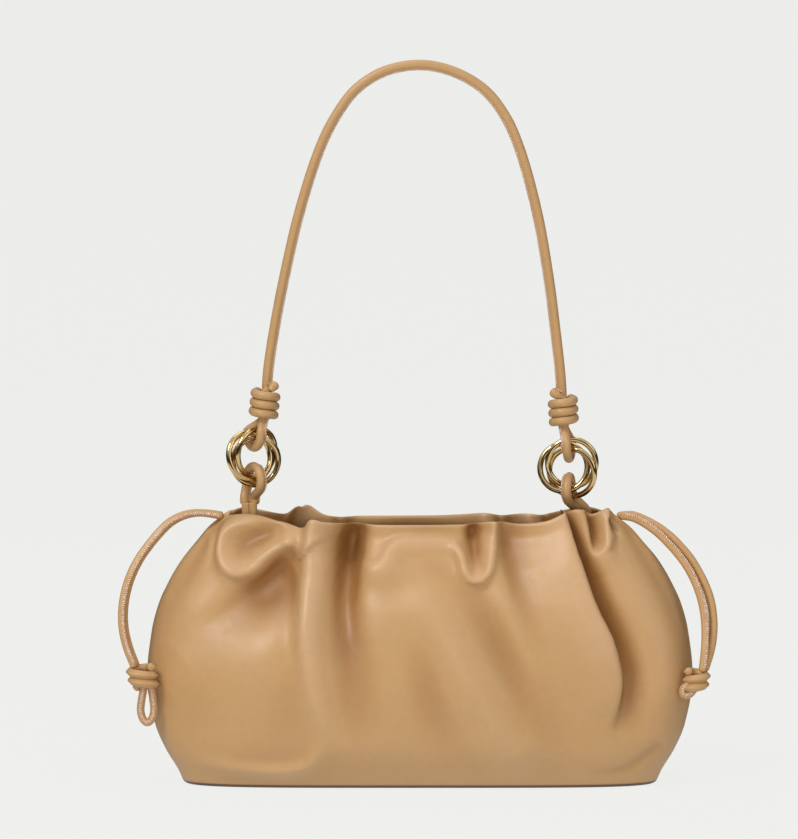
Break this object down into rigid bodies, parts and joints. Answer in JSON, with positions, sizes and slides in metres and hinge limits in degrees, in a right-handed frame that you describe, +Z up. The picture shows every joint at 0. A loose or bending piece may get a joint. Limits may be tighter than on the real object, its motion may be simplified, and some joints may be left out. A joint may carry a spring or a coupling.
{
  "type": "cloud pouch bag",
  "caption": "Soft gathered leather shoulder pouch with a rolled strap on interlocked rings and a knotted drawstring at each end.",
  "frame": {"origin": "middle of the base, on the surface the bag stands on", "axes": "+Z up, +X to the right seen from the front, the front faces -Y"},
  "size_m": [0.3274, 0.1188, 0.3957],
  "materials": {
    "leather": "smooth satin nappa, camel tan",
    "gold_metal": "polished pale gold plating"
  },
  "bodies": {
    "root": {"bag_body": "leather", "shoulder_strap": "leather", "left_strap_knot": "leather", "left_ring_tab": "leather", "left_collar": "leather", "left_ring_1": "gold_metal", "left_ring_2": "gold_metal", "left_ring_3": "gold_metal", "left_drawstring_front": "leather", "left_drawstring_back": "leather", "left_drawstring_knot": "leather", "right_strap_knot": "leather", "right_ring_tab": "leather", "right_collar": "leather", "right_ring_1": "gold_metal", "right_ring_2": "gold_metal", "right_ring_3": "gold_metal", "right_drawstring_front": "leather", "right_drawstring_back": "leather", "right_drawstring_knot": "leather"}
  },
  "joints": []
}
